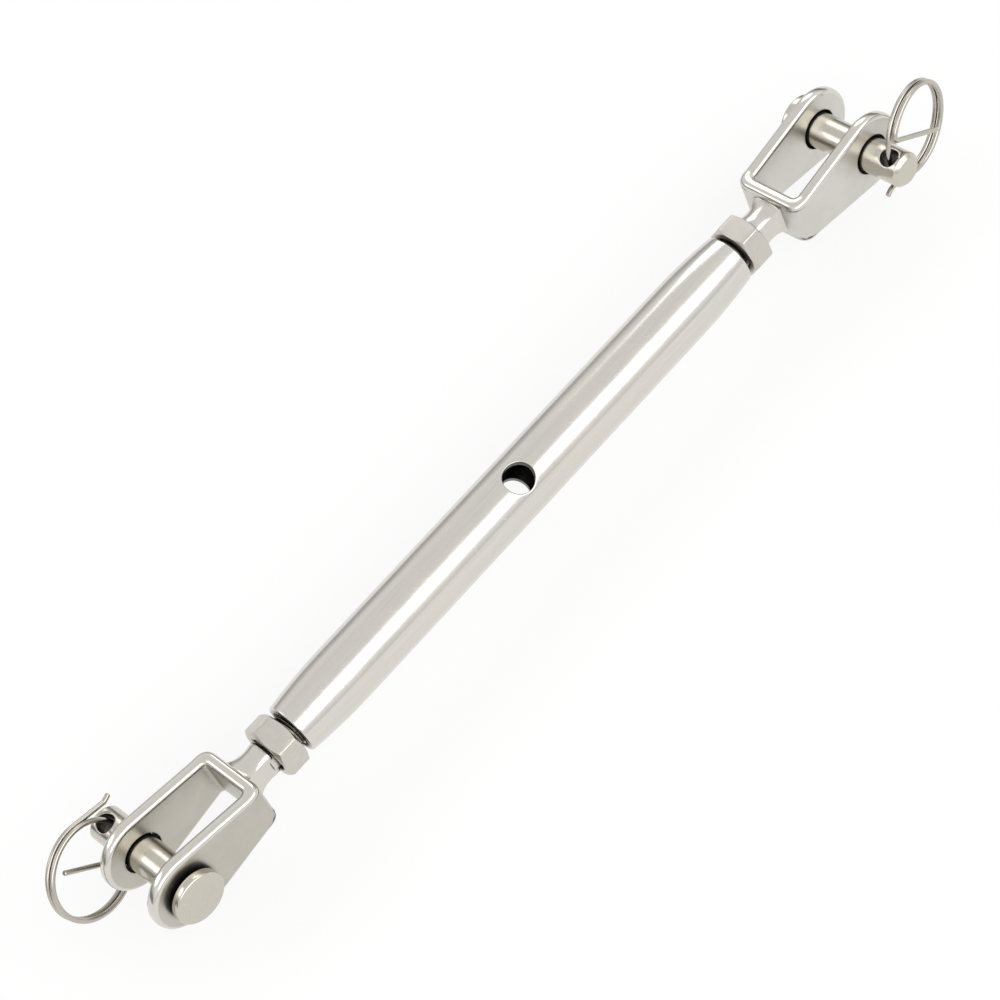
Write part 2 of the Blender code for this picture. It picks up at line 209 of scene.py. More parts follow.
# Steels, as light reflected straight back
TUBE_COLOUR = (0.70, 0.672, 0.632)
JAW_COLOUR = (0.685, 0.665, 0.62)
# Satin jaw faces: both jaws are one steel, and the right jaw's faces are painted darker as shade
JAW_FACE_COLOURS_SHADED_BY_END = {"right": (0.53, 0.507, 0.453), "left": (0.65, 0.634, 0.592)}
NUT_COLOUR = (0.62, 0.592, 0.545)
PIN_COLOUR = (0.60, 0.57, 0.505)
WIRE_COLOUR = (0.52, 0.49, 0.44)
# bores painted almost black as shade
BORE_SHADE_COLOUR = (0.10, 0.096, 0.09)
# the near black of the painted shade in crevices
CREVICE_SHADE_COLOUR = (0.020, 0.018, 0.016)

# Crevices painted dark as shade: how far the shade reaches, and how open a place is where the painted shade
# starts and where it is full
CREVICE_INPUTS = ("Reach", "Start", "Full")
PLAIN_CREVICE = (2.0 * MM, 0.6, 0.35)
JAW_CREVICE = (2.2 * MM, 0.74, 0.58)
# painted shade deep inside the U of a jaw
JAW_HOLLOW_SHADE = (9.0 * MM, 0.68, 0.3)
THREAD_CREVICE = (1.5 * MM, 0.8, 0.4)
PIN_CREVICE = (2.0 * MM, 0.7, 0.45)
WIRE_CREVICE = (1.0 * MM, 0.66, 0.3)

# Polish lines: how close they lie along X, Y and Z
TUBE_LINES = (40.0, 1500.0, 1500.0)
JAW_LINES = (500.0, 700.0, 500.0)
NUT_LINES = (900.0, 900.0, 900.0)
TURNED_LINES = (2500.0, 120.0, 120.0)
WIRE_LINES = (400.0, 400.0, 400.0)
BORE_LINES = (3000.0, 300.0, 300.0)

# What lines, smudges, scratches and the painted crevice shade do to a steel's tone, gloss and relief
LINE_DARKENING = 0.93
LINE_ROUGHNESS = (0.85, 1.15)
SMUDGE_TINT = (0.99, 0.97, 0.94)
SMUDGE_SHARE = 0.7
SMUDGE_ROUGHNESS = 0.25
SCRATCH_DIRECTIONS = (
    ((0.4, 0.3, 0.7), (90.0, 3000.0, 3000.0)),
    ((-0.6, 0.5, -0.9), (2600.0, 110.0, 2600.0)),
)
SCRATCH_ROUGHNESS = 0.12
SCRATCH_DEPTH = 0.4
# crevices, where the painted shade falls, are also rougher
CREVICE_ROUGHNESS = 0.35
FACE_SMUDGE_DARKENING = 0.95
# how dark the painted shade deep in a jaw's U makes its satin faces
HOLLOW_SHADE_DARKENING = 0.45
RELIEF_UNIT = 0.01 * MM
BORE_SMUDGES = 200.0
BORE_STAIN = 0.5
BORE_ROUGHNESS = (0.25, 0.45)

# Studio, its floor low enough for a ring that hangs from a turned pin
CAMERA_TARGET = Vector((-4.04 * MM, 1.21 * MM, -0.45 * MM))
CAMERA_DISTANCE = 624.0 * MM
CAMERA_AZIMUTH = -24.185 * DEG
CAMERA_ELEVATION = 50.441 * DEG
CAMERA_ROLL = -27.954 * DEG
CAMERA_LENS = 109.37
CAMERA_SENSOR = 36.0
FLOOR_RADIUS = 2.0
FLOOR_DROP = 8.5 * MM
FLOOR_STEPS = 96
KEY_DISTANCE = 0.9
KEY_ELEVATION = 41.5 * DEG
KEY_SIZE = (1.9, 0.54)
KEY_RADIANCE = 1.55
KEY_AZIMUTH = -90.0 * DEG
BACK_DISTANCE = 0.9
BACK_ELEVATION = 38.0 * DEG
BACK_AZIMUTHS = (135.0 * DEG, 41.0 * DEG)
BACK_SIZE = (0.40, 0.32)
BACK_RADIANCE = 1.4
FLOOR_PAPER = (0.93, 0.93, 0.925, 1.0)
FLOOR_WHITENESS = 0.72
FLOOR_WASH_FROM = 0.12
FLOOR_WASH_FULL = 0.6
WHITE = (1.0, 1.0, 1.0, 1.0)
TENT_LIGHT = 0.8
TENT_SIDE_FROM = 0.4
TENT_SIDE_FULL = 0.75
TENT_FRONT_TURN = 0.25

# Tones of the tent: height, as a share from straight down to straight up, and brightness
TENT_BEHIND = ((0.0, 0.85), (0.46, 0.7), (0.5, 0.45), (0.56, 0.45), (0.65, 0.62), (0.725, 0.85),
               (0.81, 0.92), (0.9, 0.85), (1.0, 0.87))
TENT_SIDES = ((0.0, 0.85), (0.46, 0.5), (0.5, 0.2), (0.58, 0.22), (0.66, 0.6), (0.725, 0.9), (0.81, 0.92),
              (1.0, 0.87))
TENT_BEFORE = ((0.0, 0.85), (0.44, 0.72), (0.5, 0.73), (0.6, 0.92), (0.72, 1.1), (1.0, 0.87))


# Mesh building

def loop(shape, points):
    return [shape.verts.new(point) for point in points]


def skin(shape, loops):
    """Quads between neighbouring loops of equal count."""
    for here, there in zip(loops, loops[1:]):
        count = len(here)
        for k in range(count):
            n = (k + 1) % count
            shape.faces.new((here[k], here[n], there[n], there[k]))


def ring_of_edges(shape, verts):
    edges = []
    for a, b in zip(verts, verts[1:] + verts[:1]):
        edges.append(shape.edges.get((a, b)) or shape.edges.new((a, b)))
    return edges


def circle(along, radius, columns):
    """Points round X, the first at +Z."""
    turns = [2 * math.pi * k / columns for k in range(columns)]
    return [(along, radius * math.sin(turn), radius * math.cos(turn)) for turn in turns]


def lathe(shape, start, profile):
    """Carries a loop round X on along (along, radius) points; the last may lie on the axis."""
    loops = [start]
    for along, radius in profile:
        if radius > MERGE:
            loops.append(loop(shape, circle(along, radius, len(start))))
    skin(shape, loops)
    if profile[-1][1] <= MERGE:
        centre = shape.verts.new((profile[-1][0], 0.0, 0.0))
        rim = loops[-1]
        for a, b in zip(rim, rim[1:] + rim[:1]):
            shape.faces.new((a, b, centre))
    return loops[-1]


def rounded(points):
    """An outline from (along, across, rounding) corners, each replaced by its arc."""
    outline = []
    for k, (along, across, rounding) in enumerate(points):
        here = np.array((along, across))
        if rounding == 0.0:
            outline.append((along, across))
            continue
        before = np.array(points[k - 1][:2]) - here
        after = np.array(points[k + 1][:2]) - here
        before /= np.linalg.norm(before)
        after /= np.linalg.norm(after)
        half = math.acos(np.clip(before @ after, -1.0, 1.0)) / 2
        reach = rounding / math.tan(half)
        middle = here + (before + after) / np.linalg.norm(before + after) * rounding / math.sin(half)
        first = here + before * reach - middle
        last = here + after * reach - middle
        sweep = math.pi - 2 * half
        for step in range(ROUND_STEPS + 1):
            share = step / ROUND_STEPS
            turn = math.sin((1 - share) * sweep) * first + math.sin(share * sweep) * last
            outline.append(tuple(middle + turn / math.sin(sweep)))
    return outline


def quarter_round(rounding, first_step=1):
    """Insets (from the end, from the side) along a rounded corner, from its side round to its end."""
    insets = []
    for step in range(first_step, ROUND_STEPS + 1):
        turn = 90.0 * DEG * step / ROUND_STEPS
        insets.append((rounding * (1 - math.sin(turn)), rounding * (1 - math.cos(turn))))
    return insets


def drilled_zone(shape, radius, centre, half, hole, spread):
    """A stretch of cylinder along X with a round hole through it along Z.

    Gives the loops at its two ends, and for the hole at +Z and at -Z the rim and the angles of its points.
    """
    xs = np.linspace(-half, half, HOLE_ROWS + 1)
    step = 2 * math.pi / TURN_COLUMNS
    windows = (0, TURN_COLUMNS // 2)

    def away(column, window):
        return (column - window + TURN_COLUMNS // 2) % TURN_COLUMNS - TURN_COLUMNS // 2

    def place(x, angle):
        return centre + x, radius * math.sin(angle), radius * math.cos(angle)

    grid = {}
    for i, x in enumerate(xs):
        for j in range(TURN_COLUMNS):
            open_here = 0 < i < HOLE_ROWS and any(abs(away(j, w)) < HOLE_SPAN for w in windows)
            if not open_here:
                grid[i, j] = shape.verts.new(place(x, j * step))
    for i in range(HOLE_ROWS):
        for j in range(TURN_COLUMNS):
            if any(-HOLE_SPAN <= away(j, w) < HOLE_SPAN for w in windows):
                continue
            n = (j + 1) % TURN_COLUMNS
            shape.faces.new((grid[i, j], grid[i, n], grid[i + 1, n], grid[i + 1, j]))
    border = [(HOLE_ROWS, j) for j in range(-HOLE_SPAN, HOLE_SPAN + 1)]
    border += [(i, HOLE_SPAN) for i in range(HOLE_ROWS - 1, -1, -1)]
    border += [(0, j) for j in range(HOLE_SPAN - 1, -HOLE_SPAN - 1, -1)]
    border += [(i, -HOLE_SPAN) for i in range(1, HOLE_ROWS)]
    angles = [math.atan2(spread * j * step, xs[i]) for i, j in border]
    rims = []
    for window in windows:
        loops = [[grid[i, (window + j) % TURN_COLUMNS] for i, j in border]]
        for k in range(1, HOLE_LOOPS + 1):
            share = k / HOLE_LOOPS
            points = []
            for (i, j), angle in zip(border, angles):
                x = xs[i] + (hole * math.cos(angle) - xs[i]) * share
                edge = math.asin(hole * math.sin(angle) / radius)
                points.append(place(x, window * step + j * step + (edge - j * step) * share))
            loops.append(loop(shape, points))
        skin(shape, loops)
        rims.append(loops[-1])
    ends = [[grid[i, j] for j in range(TURN_COLUMNS)] for i in (0, HOLE_ROWS)]
    return ends, rims, angles


def round_rim(shape, rim, angles, side, radius, centre, hole, rounding):
    """Rolls a hole's rim over into the hole, and gives the loop where its straight wall starts."""
    loops = [rim]
    for wider, lower in quarter_round(rounding):
        reach = hole + wider
        points = []
        for angle in angles:
            across = reach * math.sin(angle)
            height = math.sqrt(radius**2 - across**2) - lower
            points.append((centre + reach * math.cos(angle), side * across, side * height))
        loops.append(loop(shape, points))
    skin(shape, loops)
    return loops[-1]


def opposite(rim):
    """The points of a hole's far rim in the order of those straight across from them in the near one."""
    return [rim[(2 * HOLE_SPAN - k) % len(rim)] for k in range(len(rim))]


def piece(name, shape, materials, body, place, node=None, weigh=True):
    """A named object from a bmesh, riding on its body and standing for its solid."""
    bmesh.ops.recalc_face_normals(shape, faces=shape.faces[:])
    mesh = bpy.data.meshes.new(name)
    shape.to_mesh(mesh)
    shape.free()
    mesh.shade_smooth()
    mesh.set_sharp_from_angle(angle=SHARP_ANGLE)
    for material in materials:
        mesh.materials.append(material)
    item = bpy.data.objects.new(name, mesh)
    bpy.context.scene.collection.objects.link(item)
    item.matrix_world = place
    if weigh:
        normals = item.modifiers.new("even_shading", "WEIGHTED_NORMAL")
        normals.keep_sharp = True
        normals.weight = EVEN_SHADING_WEIGHT
    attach(item, body)
    if node:
        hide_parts(node)
    return item


def end_frame(end):
    return Matrix.Rotation(FACING[end], 4, "Z")


def pin_frame(end):
    return end_frame(end) @ Matrix.Translation((PIN_X, 0, 0)) @ Matrix.Rotation(PIN_TURN[end], 4, "Y")


# Tube

def tube_end_profile():
    """From the drilled zone's edge out over the swage, round the end and back along the bore."""
    swage_from = TUBE_END - TUBE_SWAGE_LENGTH
    profile = []
    for step in range(SWAGE_STEPS + 1):
        into = step / SWAGE_STEPS
        along = swage_from + into * (TUBE_SWAGE_LENGTH - TUBE_END_ROUNDING)
        profile.append((along, TUBE_RADIUS - (TUBE_RADIUS - TUBE_END_RADIUS) * into**2))
    for short, under in quarter_round(TUBE_END_ROUNDING):
        profile.append((TUBE_END - short, TUBE_END_RADIUS - under))
    tapped_from = TUBE_END - TUBE_TAPPED_LENGTH
    return profile + [
        (TUBE_END, TAPPED_RADIUS + THREAD_MOUTH),
        (TUBE_END - THREAD_MOUTH, TAPPED_RADIUS),
        (tapped_from, TAPPED_RADIUS),
        (tapped_from - TUBE_BORE_STEP, TUBE_BORE_RADIUS),
    ]


def make_tube(tube_steel, bore_steel):
    shape = bmesh.new()
    ends, rims, angles = drilled_zone(shape, TUBE_RADIUS, 0.0, CROSS_HOLE_ZONE,
                                      CROSS_HOLE_RADIUS + CROSS_HOLE_ROUNDING, TUBE_RADIUS)
    bore_ends, bore_rims, _ = drilled_zone(shape, TUBE_BORE_RADIUS, 0.0, CROSS_HOLE_ZONE, CROSS_HOLE_RADIUS,
                                           TUBE_RADIUS)
    for side, rim, bore_rim in zip((1, -1), rims, bore_rims):
        wall = round_rim(shape, rim, angles, side, TUBE_RADIUS, 0.0, CROSS_HOLE_RADIUS, CROSS_HOLE_ROUNDING)
        skin(shape, [wall, bore_rim])
    for facing, outer, bore in zip((-1, 1), ends, bore_ends):
        last = lathe(shape, outer, [(facing * along, radius) for along, radius in tube_end_profile()])
        skin(shape, [last, bore])
    # faces in the bore, short of its ends, get the bore material, painted dark as shade
    for face in shape.faces:
        middle = face.calc_center_median()
        reach = math.hypot(middle.y, middle.z)
        in_bore = reach < (TUBE_BORE_RADIUS + TUBE_RADIUS) / 2
        face.material_index = int(in_bore and abs(middle.x) < TUBE_END - BORE_FINISH_INSET)
    place = Matrix.Rotation(CROSS_HOLE_TILT, 4, "X")
    piece("polished_tube", shape, [tube_steel, bore_steel], "tube", place, "tube_body")


# Threaded studs

def thread_radius(height, along):
    """The radius at a place along the stud: run out towards the neck, pointed at the tip."""
    run_out = np.clip((NUT_END + NECK_GAP - along) / THREAD_RUN_OUT, 0.0, 1.0)
    full = THREAD_ROOT + (THREAD_CREST - THREAD_ROOT) * height * run_out
    return min(full, STUD_TIP_RADIUS + max(along - STUD_TIP, 0.0))


def make_thread(end, steel):
    """One spiral strip of thread, cut off square at the tip of the stud and inside the neck."""
    hand = THREAD_HAND[end]
    last = NUT_END + NECK_GAP + STUD_IN_NECK
    turns = math.ceil((last - STUD_TIP) / THREAD_PITCH) + THREAD_TURNS_BEFORE_TIP + THREAD_TURNS_PAST_NECK
    rows_a_turn = len(THREAD_FORM)
    shape = bmesh.new()
    rows = []
    for turn in range(turns):
        for share, height in THREAD_FORM:
            row = []
            for k in range(THREAD_COLUMNS):
                angle = 2 * math.pi * k / THREAD_COLUMNS
                turned = turn - THREAD_TURNS_BEFORE_TIP + share + k / THREAD_COLUMNS
                along = STUD_TIP + turned * THREAD_PITCH
                radius = thread_radius(height, along)
                place = (along, radius * math.cos(angle), hand * radius * math.sin(angle))
                row.append(shape.verts.new(place))
            rows.append(row)
    for q in range(len(rows) - 1):
        for k in range(THREAD_COLUMNS):
            n = (k + 1) % THREAD_COLUMNS
            here, there = q, q + 1
            if n == 0:
                here += rows_a_turn
                there += rows_a_turn
            if there >= len(rows):
                continue
            shape.faces.new((rows[q][k], rows[here][n], rows[there][n], rows[q + 1][k]))
    for along, outward in ((STUD_TIP, -1), (last, 1)):
        everything = shape.verts[:] + shape.edges[:] + shape.faces[:]
        bmesh.ops.bisect_plane(shape, geom=everything, dist=MERGE, plane_co=(along, 0, 0),
                               plane_no=(outward, 0, 0), clear_outer=True)
        rim = [edge for edge in shape.edges if edge.is_boundary
               and all(abs(vert.co.x - along) < SAME_PLACE for vert in edge.verts)]
        bmesh.ops.holes_fill(shape, edges=rim, sides=0)
    piece(end + "_jaw_thread", shape, [steel], end + "_jaw", end_frame(end), weigh=False)


# Lock nuts

def make_nut(end, steel):
    """A hexagon whose corners are turned off by a cone at both faces, with a countersunk threaded hole."""
    flat = NUT_ACROSS_FLATS / 2
    slope = math.tan(NUT_CHAMFER_ANGLE)
    columns = 6 * NUT_COLUMNS_A_FLAT
    blunt = flat / math.cos(HALF_FLAT) - NUT_CORNER_ROUNDING * (1 / math.cos(HALF_FLAT) - 1)
    shape = bmesh.new()
    sides = {}
    for name, face, inward in (("start", NUT_START, 1), ("end", NUT_END, -1)):
        turned_off = []
        for k in range(columns):
            angle = 2 * math.pi * k / columns
            from_corner = (angle + HALF_FLAT) % (2 * HALF_FLAT) - HALF_FLAT
            reach = min(flat / math.cos(HALF_FLAT - abs(from_corner)), blunt)
            along = face + inward * (reach - NUT_FACE_RADIUS) * slope
            turned_off.append((along, reach * math.sin(angle), reach * math.cos(angle)))
        sides[name] = [
            loop(shape, circle(face + inward * NUT_MOUTH, TAPPED_RADIUS, columns)),
            loop(shape, circle(face, TAPPED_RADIUS + NUT_MOUTH, columns)),
            loop(shape, circle(face, NUT_FACE_RADIUS, columns)),
            loop(shape, turned_off),
        ]
    around = sides["start"] + sides["end"][::-1]
    skin(shape, around + around[:1])
    place = end_frame(end) @ Matrix.Rotation(NUT_TURN[end], 4, "X")
    nut = piece(end + "_lock_nut", shape, [steel], end + "_nut", place,
                end + "_thread_lock_nut", weigh=False)
    edges = nut.modifiers.new("worn_edges", "BEVEL")
    edges.width = NUT_EDGE_ROUNDING
    edges.segments = NUT_EDGE_STEPS
    edges.limit_method = "ANGLE"
    edges.angle_limit = NUT_EDGE_LEAST_ANGLE
    normals = nut.modifiers.new("even_shading", "WEIGHTED_NORMAL")
    normals.keep_sharp = True


# Jaws

BASE_FRONT = PIN_X - JAW_BASE_TO_EYE
NECK_START = NUT_END + NECK_GAP
JAW_GAP = 2 * (EAR_OUTSIDE - JAW_WALL)
BEND_RADIUS = JAW_INNER_BEND + JAW_WALL / 2
STRAIGHT = JAW_GAP / 2 - JAW_INNER_BEND
BENT = STRAIGHT + BEND_RADIUS * math.pi / 2
EYE_ALONG = BENT + JAW_BASE_TO_EYE - JAW_INNER_BEND


def bend_strip(along, out, across):
    """Folds a point of the flat strip round the U: base across Y, ears along X."""
    run = abs(along)
    turn = min(max(run - STRAIGHT, 0.0) / BEND_RADIUS, math.pi / 2)
    reach = max(run - STRAIGHT - BEND_RADIUS * math.pi / 2, 0.0)
    square = CIRCLE_POWER + BEND_SQUARENESS * (0.5 + out / JAW_WALL)
    spread = (math.cos(turn) ** square + math.sin(turn) ** square) ** (-1 / square) * (BEND_RADIUS + out)
    x = BASE_FRONT + JAW_INNER_BEND - spread * math.cos(turn) + reach
    y = min(run, STRAIGHT) + spread * math.sin(turn)
    return x, math.copysign(y, along), across


def strip_edge():
    """The upper edge of the flat strip from its middle to the tip of an eye.

    Each point is (along, half width, angle of the edge's normal).
    """
    corner = math.hypot(EYE_ALONG - BENT, JAW_BASE_HALF_WIDTH)
    touch = math.atan2(JAW_BASE_HALF_WIDTH, BENT - EYE_ALONG) - math.acos(EYE_RADIUS / corner)
    upright = 90.0 * DEG
    points = [(STRAIGHT * k / BASE_STEPS, JAW_BASE_HALF_WIDTH, upright) for k in range(BASE_STEPS + 1)]
    for k in range(1, BEND_STEPS + 1):
        turn = (touch - upright) / 2 if k == BEND_STEPS else 0.0
        points.append((STRAIGHT + (BENT - STRAIGHT) * k / BEND_STEPS, JAW_BASE_HALF_WIDTH, upright + turn))
    start = np.array((BENT, JAW_BASE_HALF_WIDTH))
    end = np.array((EYE_ALONG + EYE_RADIUS * math.cos(touch), EYE_RADIUS * math.sin(touch)))
    for k in range(1, CHEEK_STEPS):
        points.append((*(start + (end - start) * k / CHEEK_STEPS), touch))
    for k in range(EYE_STEPS + 1):
        angle = touch * (1 - k / EYE_STEPS)
        points.append((EYE_ALONG + EYE_RADIUS * math.cos(angle), EYE_RADIUS * math.sin(angle), angle))
    return points


def strip_outline():
    """The strip's whole outline, from the tip of the -Y eye along the upper edge and back below."""
    half = strip_edge()
    upper = [(-along, width, math.pi - normal) for along, width, normal in reversed(half[1:])] + half
    lower = [(along, -width, -normal) for along, width, normal in reversed(upper[1:-1])]
    return upper + lower


def edge_section():
    """The rounded edge in section, from the outer face to the inner: (inset from the edge, out)."""
    section = [(inset, JAW_WALL / 2 - under) for inset, under in quarter_round(JAW_EDGE_ROUNDING, 0)]
    return section + [(inset, -out) for inset, out in reversed(section)]


def eye_hole(shape, side):
    """The wall of one ear's hole; gives the loops at the outer and the inner face."""
    rolled = quarter_round(EYE_HOLE_ROUNDING, 0)
    outer = [(EAR_OUTSIDE - short, EYE_HOLE_RADIUS + wider) for short, wider in reversed(rolled)]
    inner = [(EAR_OUTSIDE + JAW_GAP / 2 - y, radius) for y, radius in reversed(outer)]
    turns = [2 * math.pi * k / EYE_HOLE_STEPS for k in range(EYE_HOLE_STEPS)]
    loops = []
    for y, radius in outer + inner:
        points = [(PIN_X + radius * math.cos(turn), side * y, radius * math.sin(turn)) for turn in turns]
        loops.append(loop(shape, points))
    skin(shape, loops)
    return loops[0], loops[-1]


def fill_cheek(shape, border, hole):
    """A flat cheek between its outline and the hole of its eye."""
    edges = ring_of_edges(shape, border) + ring_of_edges(shape, hole)
    bmesh.ops.triangle_fill(shape, use_beauty=True, use_dissolve=False, edges=edges)


def flare_end(angle):
    """Where the neck's flare lands on the back of the strip: (along, across) on a rounded square."""
    c, s = math.cos(angle), math.sin(angle)
    power = FLARE_SQUARENESS
    reach = (abs(c / FLARE_HALF_LENGTH) ** power + abs(s / FLARE_HALF_ACROSS) ** power) ** (-1 / power)
    return reach * c, reach * s


def make_back(shape, border, flat_border, rim):
    """The back of the base round the neck, the flare and the neck down to where the thread starts."""
    out = JAW_WALL / 2
    angles = [math.atan2(across / FLARE_HALF_ACROSS, along / FLARE_HALF_LENGTH)
              for along, across in flat_border]
    ends = [flare_end(angle) for angle in angles]
    loops = [border]
    for k in range(1, BACK_LOOPS + 1):
        share = k / BACK_LOOPS
        points = [bend_strip(a + (e - a) * share, out, c + (f - c) * share)
                  for (a, c), (e, f) in zip(flat_border, ends)]
        loops.append(loop(shape, points))
    flare_from = NECK_START + NECK_STRAIGHT
    curves = []
    for along, across in ends:
        landing = np.array(bend_strip(along, out, across))
        inside = np.array(bend_strip(along * JUST_INSIDE, out, across * JUST_INSIDE))
        outward = (landing - inside) / np.linalg.norm(landing - inside)
        turn = math.atan2(landing[2], landing[1])
        leaving = np.array((flare_from, NECK_RADIUS * math.cos(turn), NECK_RADIUS * math.sin(turn)))
        spare = math.hypot(landing[1], landing[2]) - NECK_RADIUS
        curves.append((landing, landing - outward * (FLARE_LANDING * spare + FLARE_LEAST_LANDING),
                       leaving * (1, NECK_WAIST, NECK_WAIST) + (FLARE_LEAVING, 0, 0), leaving))
    for k in range(1, FLARE_STEPS + 1):
        t = k / FLARE_STEPS
        points = []
        for a, b, c, d in curves:
            points.append(a * (1 - t) ** 3 + 3 * b * t * (1 - t) ** 2 + 3 * c * t**2 * (1 - t) + d * t**3)
        loops.append(loop(shape, points))
    profile = [(NECK_START + NECK_ROUNDING, NECK_RADIUS)]
    profile += [(NECK_START + short, NECK_RADIUS - under) for short, under in quarter_round(NECK_ROUNDING)]
    for x, radius in profile:
        points = []
        for *_, leaving in curves:
            points.append((x, leaving[1] / NECK_RADIUS * radius, leaving[2] / NECK_RADIUS * radius))
        loops.append(loop(shape, points))
    skin(shape, loops)
    shape.faces.new(loops[-1])
    for verts in loops[BACK_LOOPS + 2:]:
        for vert in verts:
            vert[rim] = 1.0


def make_jaw(end, steel):
    """A strip with rolled rims bent into a U, two round eyes, and the flare and neck behind it."""
    outline = strip_outline()
    section = edge_section()
    shape = bmesh.new()
    rim = shape.verts.layers.float.new("rim")
    loops = []
    for inset, out in section:
        points = []
        for along, width, normal in outline:
            points.append(bend_strip(along - inset * math.cos(normal), out, width - inset * math.sin(normal)))
        loops.append(loop(shape, points))
    skin(shape, loops)
    for verts in loops[1:-1]:
        for vert in verts:
            vert[rim] = 1.0
    total = len(outline)
    upper = total // 2 + 1
    bent = [k for k in range(upper) if abs(outline[k][0]) <= BENT + MERGE]
    first, last = bent[0], bent[-1]
    inner = loops[-1]
    for k in range(first, last):
        low, next_low = (total - k) % total, total - k - 1
        shape.faces.new((inner[k], inner[k + 1], inner[next_low], inner[low]))
    holes = {side: eye_hole(shape, side) for side in (-1, 1)}
    for face_loop, which in ((loops[0], 0), (inner, 1)):
        near = [face_loop[k % total] for k in range(total - first, total + first + 1)]
        far = [face_loop[k] for k in range(last, total - last + 1)]
        fill_cheek(shape, near, holes[-1][which])
        fill_cheek(shape, far, holes[1][which])
    around = list(range(first, last + 1)) + list(range(total - last, total - first + 1))
    inset = section[0][0]
    flat_border = []
    for k in around:
        along, width, normal = outline[k]
        flat_border.append((along - inset * math.cos(normal), width - inset * math.sin(normal)))
    make_back(shape, [loops[0][k] for k in around], flat_border, rim)
    piece(end + "_jaw_forging", shape, [steel], end + "_jaw", end_frame(end),
          end + "_thread_jaw")


# Clevis pins

def make_pin(end, steel, hole_steel):
    """A turned pin with a flat head, drilled across near its tip."""
    head_in = PIN_HEAD_OUT - PIN_HEAD_THICKNESS
    shape = bmesh.new()
    ends, rims, angles = drilled_zone(shape, PIN_RADIUS, PIN_HOLE_ALONG, PIN_HOLE_ZONE,
                                      PIN_HOLE_RADIUS + PIN_HOLE_ROUNDING, PIN_RADIUS)
    walls = []
    for side, rim in zip((1, -1), rims):
        walls.append(round_rim(shape, rim, angles, side, PIN_RADIUS, PIN_HOLE_ALONG, PIN_HOLE_RADIUS,
                               PIN_HOLE_ROUNDING))
    skin(shape, [walls[0], opposite(walls[1])])
    tip = rounded([
        (PIN_HOLE_ALONG, PIN_RADIUS, 0.0),
        (PIN_TIP + PIN_END_CHAMFER, PIN_RADIUS, PIN_SIDE_ROUNDING),
        (PIN_TIP, PIN_RADIUS - PIN_END_CHAMFER, PIN_TIP_ROUNDING),
        (PIN_TIP, 0.0, 0.0),
    ])
    head = rounded([
        (PIN_HOLE_ALONG, PIN_RADIUS, 0.0),
        (head_in, PIN_RADIUS, PIN_HEAD_FILLET),
        (head_in, PIN_HEAD_RADIUS, PIN_HEAD_FILLET),
        (PIN_HEAD_OUT, PIN_HEAD_RADIUS, PIN_HEAD_ROUNDING),
        (PIN_HEAD_OUT, 0.0, 0.0),
    ])
    lathe(shape, ends[0], tip[1:])
    lathe(shape, ends[1], head[1:])
    # faces in the cross hole get the bore material, painted dark as shade
    for face in shape.faces:
        middle = face.calc_center_median()
        face.material_index = int(math.hypot(middle.x - PIN_HOLE_ALONG, middle.y) < PIN_HOLE_RADIUS)
    place = pin_frame(end) @ Matrix.Rotation(90.0 * DEG, 4, "Z")
    piece(end + "_clevis_pin", shape, [steel, hole_steel], end + "_pin", place,
          end + "_jaw_clevis_pin")


# Split rings

RING_PITCH = 2 * RING_WIRE_RADIUS + RING_TURN_GAP
RING_CENTRE = RING_RADIUS - (PIN_HOLE_RADIUS - RING_WIRE_RADIUS - RING_HOLE_CLEARANCE)


def on_ring(angle, radius=RING_RADIUS):
    """A place in the ring's plane (X out from the hole, Z along the hole), by its angle from the hole."""
    return np.array([RING_CENTRE - radius * math.cos(angle), radius * math.sin(angle)])


def heading(angle):
    """The way the wire runs round the ring at an angle from the hole."""
    return np.array([math.sin(angle), math.cos(angle)])


def ring_path(flip):
    """The wire's middle line: tail over the pin, two turns side by side, and a leg across the ring."""
    tail = on_ring(RING_TAIL_FROM) - RING_TAIL_LENGTH * heading(RING_TAIL_FROM)
    flat = [tail - RING_TIP_LENGTH * heading(RING_TAIL_FROM + RING_TIP_TURN), tail]
    angles = [RING_TAIL_FROM, RING_TAIL_FROM]
    turned_by = RING_LEG_FROM - RING_TAIL_FROM
    count = round(RING_LOOP_POINTS * turned_by / (2 * math.pi))
    for k in range(count + 1):
        angles.append(RING_TAIL_FROM + turned_by * k / count)
        flat.append(on_ring(angles[-1]))
    pivot = flat[-1] + RING_LEG_BEND * heading(RING_LEG_FROM + 90.0 * DEG)
    goal = on_ring(RING_LEG_END_ANGLE, RING_LEG_END_RADIUS)
    reach = goal - pivot
    aside = math.asin(RING_LEG_BEND / np.linalg.norm(reach))
    bend = (math.atan2(reach[0], reach[1]) - aside - RING_LEG_FROM) % (2 * math.pi)
    for k in range(1, BEND_STEPS + 1):
        angle = RING_LEG_FROM + bend * k / BEND_STEPS
        flat.append(pivot - RING_LEG_BEND * heading(angle + 90.0 * DEG))
    flat.append(goal)
    angles += [RING_LEG_FROM] * (len(flat) - len(angles))
    beside = [RING_PITCH * (angle / (2 * math.pi) - 1.0) for angle in angles]
    return np.array([(x, flip * y, flip * z) for (x, z), y in zip(flat, beside)])


def softened(path):
    """The path in even short steps, with its corners eased as a wire bends."""
    run = np.concatenate(([0.0], np.cumsum(np.linalg.norm(np.diff(path, axis=0), axis=1))))
    places = np.linspace(0.0, run[-1], round(run[-1] / RING_SAMPLE) + 1)
    fine = np.stack([np.interp(places, run, path[:, axis]) for axis in range(3)], axis=1)
    for _ in range(RING_SOFTENING):
        fine[1:-1] = (fine[:-2] + 2 * fine[1:-1] + fine[2:]) / 4
    return fine


